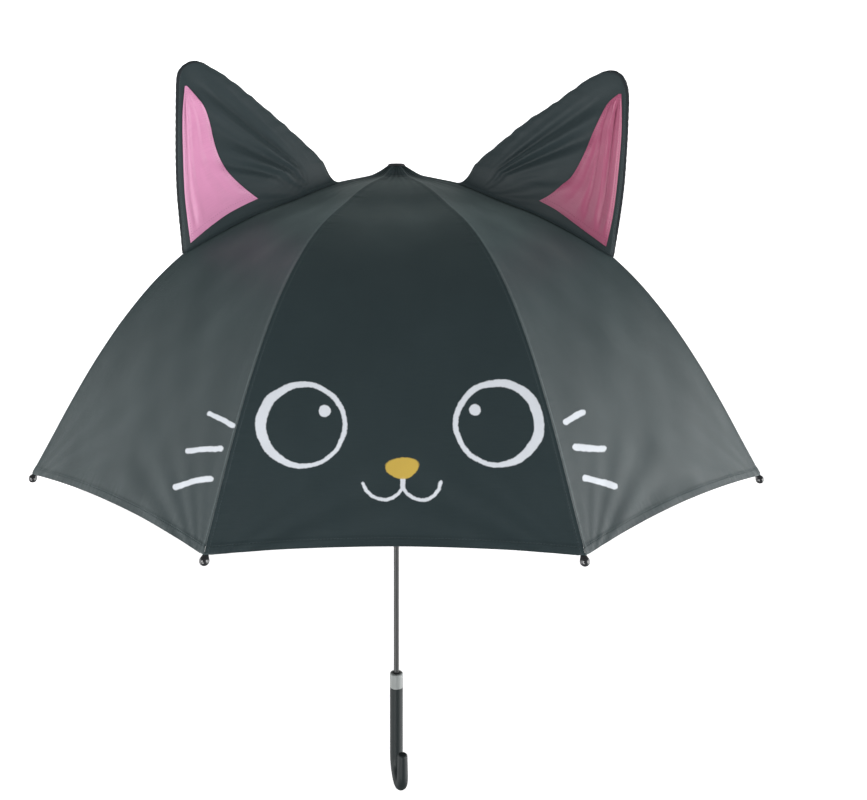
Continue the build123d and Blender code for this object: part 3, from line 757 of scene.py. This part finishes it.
# ------------------------------------------------------------------ ears
EAR = {
    "left": dict(az=-157.5, body="rib_8",
                 outer=[(183, 250), (179.5, 215), (177.4, 189), (176.4, 155), (176.4, 123), (176.6, 98), (177.4, 78), (181.6, 67.4), (193, 61.6)],
                 crest=[(335.8, 178.5), (320.8, 159), (292.6, 132), (262.8, 106), (233, 81.5), (215, 69.5), (204.8, 64), (193, 61.6)],
                 pink=dict(left=[(190.7, 243), (187, 215), (184.5, 189), (183, 150), (182.6, 115), (184.9, 86)],
                           right=[(257.8, 198.4), (245.4, 189), (233, 177.6), (223, 165), (214.7, 144.5), (208.9, 119.6), (203.9, 106), (195.6, 95.5), (187.0, 86)],
                           bottom=[(190.7, 243), (211, 226), (231, 212), (257.8, 198.4)])),
    "right": dict(az=-22.5, body="rib_3",
                  outer=[(613, 256), (619, 220), (623.6, 185), (626.5, 145), (627.8, 115), (628, 93.6), (623.6, 78), (614, 71.4)],
                  crest=[(459.8, 180.5), (476.6, 162.5), (496.5, 145.6), (527, 121), (551.6, 105), (585, 81), (600.6, 73), (614, 71.4)],
                  pink=dict(left=[(606, 246.6), (612, 220), (616, 193), (620.5, 147), (621.8, 118), (621.3, 94)],
                            right=[(539.4, 200.7), (550, 194.6), (562, 185), (573, 174.7), (586, 150), (596, 125.7), (607.5, 104), (618.6, 94)],
                            bottom=[(606, 246.6), (580.7, 228), (557.8, 211), (539.4, 200.7)])),
}
EAR_W = 14.0


def resample(points, n, curve=True):
    p = catmull([tuple(q) for q in points], 12) if curve and len(points) > 2 else np.array(points, float)
    s = np.r_[0, np.cumsum(np.hypot(*np.diff(p, axis=0).T))]
    q = np.linspace(0, s[-1], n)
    return np.c_[np.interp(q, s, p[:, 0]), np.interp(q, s, p[:, 1])]


def on_rib_plane(points, az):
    """(radius, height above the rib ends) where picture points meet the rib's plane."""
    a = math.radians(az)
    n = np.array([-math.sin(a), math.cos(a), 0])
    out = []
    for px, py in points:
        dvec = ray(px, py)
        k = -np.dot(n, EYE) / np.dot(n, dvec)
        p = np.array(EYE) + k * dvec
        out.append((p[0] * math.cos(a) + p[1] * math.sin(a), p[2] - RIM_Z))
    return np.array(out)


def coons(B, T, L, Rr):
    """Grid from four boundary lines: bottom and top run across, left and right run up."""
    rows, cols = len(L), len(B)
    u = np.linspace(0, 1, cols)[None, :, None]
    w = np.linspace(0, 1, rows)[:, None, None]
    return ((1 - w) * B[None] + w * T[None] + (1 - u) * L[:, None] + u * Rr[:, None]
            - ((1 - u) * (1 - w) * B[0] + u * (1 - w) * B[-1] + (1 - u) * w * T[0] + u * w * T[-1]))


for side_name, E in EAR.items():
    az = E["az"]
    a = math.radians(az)
    radial, tang = np.array([math.cos(a), math.sin(a), 0]), np.array([-math.sin(a), math.cos(a), 0])
    front = 1.0 if tang[1] < 0 else -1.0        # sense of tang that looks to the front
    rows, cols = ((64, 72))
    O = resample(on_rib_plane(E["outer"], az), rows)
    C = resample(on_rib_plane(E["crest"], az), rows)
    O[0, 1] = np.interp(O[0, 0], LINE[:, 0], LINE[:, 1]) + 0.6
    inner_r = C[0, 0] - 4.0
    run = np.linspace(0, 1, 8)[:-1, None]
    start = np.array([inner_r, np.interp(inner_r, LINE[:, 0], LINE[:, 1]) + 0.2])
    C = resample(np.vstack([start[None], C[1:]]), rows, curve=False)
    bumps = np.arange(rows) / rows
    crinkle = (0.42 * np.sin(bumps * 61 + 1) + 0.35 * np.sin(bumps * 97 + 2) * np.sin(bumps * 13)) * np.clip(np.minimum(bumps, 1 - bumps) * 8, 0, 1)
    C[:, 1] += crinkle
    br = np.linspace(O[0, 0], C[0, 0], cols)
    B = np.c_[br, np.interp(br, LINE[:, 0], LINE[:, 1]) + 0.6]
    T = np.repeat(O[-1][None], cols, 0)
    flat = coons(B, T, O, C)                    # (rows, cols, 2): radius, height
    u = np.linspace(0, 1, cols)[None, :]
    w = np.linspace(0, 1, rows)[:, None]
    swell = EAR_W * (1 - w) ** 0.75 * np.sin(np.pi * u) ** 0.55
    # soft folds that fan out from the inner lower corner
    corner = np.array([C[0, 0] + 20, C[0, 1] - 6])
    ang = np.arctan2(flat[..., 1] - corner[1], flat[..., 0] - corner[0])
    dist = np.hypot(flat[..., 1] - corner[1], flat[..., 0] - corner[0])
    inside = np.clip(np.sin(np.pi * u) * 1.6, 0, 1) * np.clip((1 - w) * 3, 0, 1)
    rel = ang - ang[-1, -1]
    folds = sum(h * np.exp(-((rel + at) / wd) ** 2) for h, at, wd in (
        (-3.4, 0.07, 0.045), (3.0, 0.17, 0.045), (-2.8, 0.27, 0.05), (1.8, 0.39, 0.06), (-1.6, 0.52, 0.05), (1.2, 0.66, 0.07)))
    folds = folds + 0.7 * np.sin(ang * 37 + dist * 0.02)
    fan = (1.3 if side_name == "left" else 0.9) * folds * np.clip((dist - 8) / 60, 0, 1) * np.clip(u * 2.4 - 0.35, 0, 1) * inside
    drift = 0.9 * np.sin(flat[..., 0] * 0.05 + 1.3) * np.sin(flat[..., 1] * 0.045) * inside
    walls = {}
    for which, sgn in (("front", front), ("back", -front)):
        lateral = sgn * (swell + fan * (1.0 if which == "front" else 0.7) + drift) + sgn * 0.25
        x = flat[..., 0] * radial[0] + lateral * tang[0]
        y = flat[..., 0] * radial[1] + lateral * tang[1]
        z = flat[..., 1].copy()
        # the lower edge lies on the canopy, and nothing goes under it
        floor = canopy_height(x, y) + 0.15
        drop = np.clip(1 - w * 7, 0, 1)
        z = z * (1 - drop) + np.minimum(z, floor + w * 20) * drop
        z = np.maximum(z, floor)
        P = np.stack([x, y, z + RIM_Z], -1)
        N = grid_normals(P)
        if (N @ (tang * sgn)).mean() < 0:
            N = -N
        N[-1] = tang * sgn
        lean = math.atan2(45.0, 150.0)
        up_n = np.array([0, 0, 1.0]) * math.cos(lean) + radial * math.sin(lean)
        mixn = (np.clip(1 - (P[..., 2] - RIM_Z - floor) / 9.0, 0, 1) ** 2)[..., None] * 0.8
        N = N * (1 - mixn) + (up_n * 0.8 + tang * sgn * 0.35) * mixn
        N /= np.linalg.norm(N, axis=-1, keepdims=True)
        width = np.linalg.norm(np.diff(P, axis=1), axis=-1).sum(1)
        height = np.linalg.norm(np.diff(P, axis=0), axis=-1).sum(0)
        uu = (np.linspace(0, 1, cols)[None] * width[:, None])
        vv = np.repeat((np.linspace(0, 1, rows) * height.max())[:, None], cols, 1)
        edge = np.minimum(uu, width[:, None] - uu)
        hem_d = np.repeat((np.linspace(0, 1, rows) * height.max())[:, None], cols, 1)
        obj = shell(f"ear_{side_name}_{which}", P, N, 0.5,
                    [("UVMap", np.stack([uu * MM, vv * MM], -1)), ("Edge", np.stack([edge * MM, hem_d * MM], -1))])
        finish_cloth(obj, "ear")
        area = float(np.linalg.norm(np.cross(P[1:, :-1] - P[:-1, :-1], P[:-1, 1:] - P[:-1, :-1]), axis=-1).sum()) * 1e-6
        size = (float(width.max()) * MM, float(height.max()) * MM)
        walls[which] = (obj, P, N, area, size)
    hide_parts(f"ear_{side_name}", f"ear_{side_name}_boning")
    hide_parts(f"ear_{side_name}", f"ear_{side_name}_boning")

    # pink inset, laid on the front wall
    P = walls["front"][1]
    tree = BVHTree.FromPolygons([tuple(p) for p in P.reshape(-1, 3)], grid_faces(*P.shape[:2]).tolist())
    pr, pc = ((60, 44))
    L = resample(E["pink"]["left"], pr)
    Rr = resample(E["pink"]["right"], pr)
    Bq = resample(E["pink"]["bottom"], pc)
    L[0], Rr[0] = Bq[0], Bq[-1]
    Tq = np.linspace(L[-1], Rr[-1], pc)
    G = coons(Bq, Tq, L, Rr)
    Q = np.empty(G.shape[:2] + (3,))
    QN = np.empty_like(Q)
    for i in range(pr):
        for j in range(pc):
            dvec = Vector(ray(*G[i, j]))
            hit, nr, _, _ = tree.ray_cast(Vector(EYE), dvec)
            if hit is None:
                # slide to the nearest point of the wall
                k = -np.dot(tang, EYE) / np.dot(tang, np.array(dvec))
                hit, nr, _, _ = tree.find_nearest(Vector(np.array(EYE) + k * np.array(dvec)))
            Q[i, j] = hit
            QN[i, j] = nr
    # smooth the cast points a little, then lift them off the wall with a soft pillow
    for _ in range(2):
        Q[1:-1, 1:-1] = 0.5 * Q[1:-1, 1:-1] + 0.125 * (Q[:-2, 1:-1] + Q[2:, 1:-1] + Q[1:-1, :-2] + Q[1:-1, 2:])
    QN = grid_normals(Q)
    if (QN @ (tang * front)).mean() < 0:
        QN = -QN
    gu = np.linspace(0, 1, pc)[None]
    gw = np.linspace(0, 1, pr)[:, None]
    puff = (np.clip(np.minimum(gu, 1 - gu) * 8, 0, 1) * np.clip(np.minimum(gw, 1 - gw) * 8, 0, 1)) ** 0.6
    crease = np.zeros_like(puff)
    marks = (((0.13, 0.02, -1.9, 0.035), (0.24, 0.03, 0.9, 0.06), (0.60, -0.10, 0.5, 0.07), (0.80, -0.22, -0.4, 0.05))
             if side_name == "left" else
             ((0.07, 0.10, 1.7, 0.035), (0.15, 0.22, -2.3, 0.04), (0.24, 0.42, 1.6, 0.05), (0.36, 0.50, -1.7, 0.045), (0.52, 0.30, 1.1, 0.06), (0.70, 0.10, -0.8, 0.06)))
    for c0, bend, depth, wid in marks:
        crease += depth * np.exp(-((gu - c0 - bend * gw) / wid) ** 2) * np.clip(np.minimum(gw, 1 - gw) * 7, 0, 1)
    Q = Q + QN * np.maximum(0.7 + (1.7 + 0.8 * crease) * puff, 0.45)[..., None]
    QN = grid_normals(Q)
    if (QN @ (tang * front)).mean() < 0:
        QN = -QN
    wq = np.linalg.norm(np.diff(Q, axis=1), axis=-1).sum(1)
    hq = np.linalg.norm(np.diff(Q, axis=0), axis=-1).sum(0).max()
    uu = gu * wq[:, None]
    vv = np.repeat(gw * hq, pc, 1)
    edge = np.minimum(uu, wq[:, None] - uu)
    pink = shell(f"ear_{side_name}_inner_pink", Q, QN, 0.5,
                 [("UVMap", np.stack([uu * MM, vv * MM], -1)), ("Edge", np.stack([edge * MM, vv * MM], -1))])
    # the right ear takes the darker copy of the satin, painted shade
    pink.data.materials.append(M["pink" if side_name == "left" else "pink_painted_shade_right"])

    # bound edge: a folded tape along the outer edge, over the tip and down the crest
    path = np.vstack([O[:-1], C[::-1][:int(rows * 0.14)]])
    path = resample([tuple(q) for q in path[::3]] + [tuple(path[-1])], 150)
    tan = np.gradient(path, axis=0)
    tan /= np.hypot(tan[:, 0], tan[:, 1])[:, None]
    nor = np.c_[-tan[:, 1], tan[:, 0]]
    centre = np.array([flat[..., 0].mean(), flat[..., 1].mean()])
    if ((path - centre) * nor).sum() < 0:
        nor = -nor
    sec = [(-1.3, -3.0), (-1.55, -1.5), (-1.35, 0.0), (-0.8, 0.8), (0, 1.05), (0.8, 0.8), (1.35, 0.0), (1.55, -1.5), (1.3, -3.0), (0.6, -3.2), (0, -3.0), (-0.6, -3.2)]
    n, c = len(path), len(sec)
    pts = np.empty((n, c, 3))
    s_along = np.r_[0, np.cumsum(np.hypot(*np.diff(path, axis=0).T))]
    taper = np.clip((1 - np.arange(n) / (n - 1)) / 0.10, 0.12, 1.0)
    for j, (lat, up) in enumerate(sec):
        wob = 0.12 * np.sin(s_along * 0.9 + j)
        rr = path[:, 0] + nor[:, 0] * (up + wob) * taper
        zz = path[:, 1] + nor[:, 1] * (up + wob) * taper
        pts[:, j, 0] = rr * radial[0] + lat * taper * tang[0]
        pts[:, j, 1] = rr * radial[1] + lat * taper * tang[1]
        pts[:, j, 2] = np.maximum(zz, canopy_height(pts[:, j, 0], pts[:, j, 1]) + 0.2) + RIM_Z
    faces = []
    for i in range(n - 1):
        for j in range(c):
            faces.append((i * c + j, i * c + (j + 1) % c, (i + 1) * c + (j + 1) % c, (i + 1) * c + j))
    faces += [tuple(range(c))[::-1], tuple(range((n - 1) * c, n * c))]
    uvb = np.stack([np.repeat(np.arange(c)[None] * 1.0, n, 0) * MM, np.repeat(s_along[:, None], c, 1) * MM], -1).reshape(-1, 2)
    eb = np.stack([np.repeat(np.array([3.0 if abs(q[1] + 1.5) < 0.6 else 9.0 for q in sec])[None], n, 0) * MM, np.full((n, c), 0.05)], -1).reshape(-1, 2)
    tape = make_object(f"ear_{side_name}_binding", pts.reshape(-1, 3), faces, [("UVMap", uvb), ("Edge", eb)])
    bm = bmesh.new()
    bm.from_mesh(tape.data)
    bmesh.ops.recalc_face_normals(bm, faces=bm.faces)
    bm.to_mesh(tape.data)
    bm.free()
    tape.data.materials.append(M["binding"])

    # when the umbrella closes the ear lies down on its rib
    chord = np.array([-(LINE[-1, 1] * 0 + np.interp(230, LINE[:, 0], LINE[:, 1]) - np.interp(50, LINE[:, 0], LINE[:, 1])), 180.0])
    chord /= np.hypot(*chord)
    for o in (walls["front"][0], walls["back"][0], pink, tape):
        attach(o, E["body"])
    for which in ("front", "back"):
        o, _, _, area, size = walls[which]
    for o in (walls["front"][0], walls["back"][0], pink, tape):
        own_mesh(o)

# ------------------------------------------------------------------ CAD pieces keep their shape
look = {"shaft": "black_steel", "top_notch": "black_plastic", "notch_wire": "bright_steel", "runner_wire": "bright_steel",
        "runner": "runner_plastic", "handle": "black_plastic", "collar": "grey_plastic",         "crown_washer": "black_plastic", "upper_catch": "bright_steel", "lower_catch": "bright_steel"}
for i in range(1, 9):
    look[f"stretcher_{i}"] = "rib_steel"
    look[f"tip_{i}"] = "tip_plastic"
for name, mat in look.items():
    o = nodes[name]
    if not o.material_slots:
        o.data.materials.append(M[mat])
    for slot in o.material_slots:
        slot.material = M[mat]

# ------------------------------------------------------------------ crown cap
prof = [(0.0, 296.0), (4.0, 295.95), (7.0, 295.7), (8.4, 295.1), (9.2, 294.2), (9.6, 293.3), (9.3, 293.0), (8.2, 293.6), (6.8, 293.9),
        (6.6, 291.6), (2.25, 291.6), (2.25, 275.0), (0.0, 275.0)]
seg = 48
pts = [(r * math.cos(2 * math.pi * i / seg), r * math.sin(2 * math.pi * i / seg), z + RIM_Z) for r, z in prof for i in range(seg)]
faces = [(a * seg + i, a * seg + (i + 1) % seg, (a + 1) * seg + (i + 1) % seg, (a + 1) * seg + i)
         for a in range(len(prof) - 1) for i in range(seg)]
crown = make_object("crown_cap", pts, faces)
bm = bmesh.new()
bm.from_mesh(crown.data)
bmesh.ops.remove_doubles(bm, verts=bm.verts, dist=1e-6)
bmesh.ops.recalc_face_normals(bm, faces=bm.faces)
bm.to_mesh(crown.data)
bm.free()
crown.data.set_sharp_from_angle(angle=math.radians(50))
crown.data.materials.append(M["runner_plastic"])
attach(crown, "frame")
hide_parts("top_cap")

# ------------------------------------------------------------------ studio
def stage_mesh(name, pts, faces, color, rough=0.9):
    mesh = bpy.data.meshes.new(name)
    mesh.from_pydata(pts, [], faces)
    o = bpy.data.objects.new(name, mesh)
    scene.collection.objects.link(o)
    t = Tree(name)
    t.set(color=color, rough=rough)
    mesh.materials.append(t.m)
    o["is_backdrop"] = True
    return o


# one pale floor that curves up into pale walls all round and a ceiling
floor_pts, floor_faces = [], []
rings = [(6.2, -1.60), (6.9, -1.50), (7.3, -1.25), (7.5, -0.80), (7.5, 5.0), (6.5, 6.0)]
for rad, fz in rings:
    floor_pts += [(rad * math.cos(math.pi * q / 16), rad * math.sin(math.pi * q / 16), fz) for q in range(32)]
for q in range(len(rings) - 1):
    floor_faces += [(q * 32 + w_, q * 32 + (w_ + 1) % 32, (q + 1) * 32 + (w_ + 1) % 32, (q + 1) * 32 + w_) for w_ in range(32)]
floor_faces += [tuple(range(32)), tuple(range(len(floor_pts) - 32, len(floor_pts)))[::-1]]
sweep_floor = stage_mesh("floor", floor_pts, floor_faces, (0.94, 0.945, 0.95))
sweep_floor.data.polygons.foreach_set("use_smooth", [True] * len(sweep_floor.data.polygons))
paper = next(n for n in sweep_floor.active_material.node_tree.nodes if n.type == "BSDF_PRINCIPLED")
paper.inputs["Emission Color"].default_value = (1, 1, 1, 1)
paper.inputs["Emission Strength"].default_value = 0.96
# the floor is only seen: what lights the object is the world and the two soft boxes
sweep_floor.visible_diffuse = False
sweep_floor.visible_glossy = False
sweep_floor.visible_shadow = False

world = bpy.data.worlds.new("studio")
scene.world = world
world.use_nodes = True
wt = world.node_tree
bg = next(n for n in wt.nodes if n.type == "BACKGROUND")
tc = wt.nodes.new("ShaderNodeTexCoord")
sep = wt.nodes.new("ShaderNodeSeparateXYZ")
wt.links.new(tc.outputs["Generated"], sep.inputs[0])


def w_range(v, a0, a1, b0, b1):
    n = wt.nodes.new("ShaderNodeMapRange")
    n.interpolation_type = "SMOOTHSTEP"
    wt.links.new(v, n.inputs[0])
    for q, x in enumerate((a0, a1, b0, b1)):
        n.inputs[q + 1].default_value = x
    return n.outputs[0]


def w_math(op, a, b):
    n = wt.nodes.new("ShaderNodeMath")
    n.operation = op
    for q, x in enumerate((a, b)):
        if isinstance(x, (int, float)):
            n.inputs[q].default_value = x
        else:
            wt.links.new(x, n.inputs[q])
    return n.outputs[0]


# bright walls at both sides and behind, dim above and in front
wide = w_math("ABSOLUTE", sep.outputs[0], 0)
sides = w_math("MULTIPLY", w_range(wide, 0.55, 0.97, 0.0, 3.0), w_range(sep.outputs[2], 0.12, 0.58, 1.0, 0.0))
behind = w_math("MULTIPLY", w_range(sep.outputs[1], 0.05, 0.65, 0.0, 0.10), w_range(sep.outputs[2], 0.28, 0.62, 1.0, 0.0))
total = w_math("ADD", w_math("ADD", w_math("MULTIPLY", sides, w_range(sep.outputs[0], -0.5, 0.5, 0.70, 1.42)), behind), 0.13)
wt.links.new(total, bg.inputs[1])
bg.inputs[0].default_value = (1.0, 1.0, 1.0, 1)


def area_light(name, loc, target, size, power, color=(1, 1, 1)):
    data = bpy.data.lights.new(name, "AREA")
    data.shape = "RECTANGLE"
    data.size, data.size_y = size
    data.energy = power
    data.color = color
    o = bpy.data.objects.new(name, data)
    scene.collection.objects.link(o)
    o.location = loc
    o.rotation_euler = (Vector(target) - Vector(loc)).to_track_quat("-Z", "Y").to_euler()
    return o


area_light("key_left", (-1.5, -2.0, 0.55), (0, 0, 0.45), (1.3, 1.3), 35)
area_light("fill_right", (1.9, -1.4, 0.6), (0, 0, 0.40), (1.0, 1.3), 19)
area_light("front_low", (-0.9, -2.1, -0.8), (0, 0, 0.35), (1.4, 0.8), 25)

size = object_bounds()
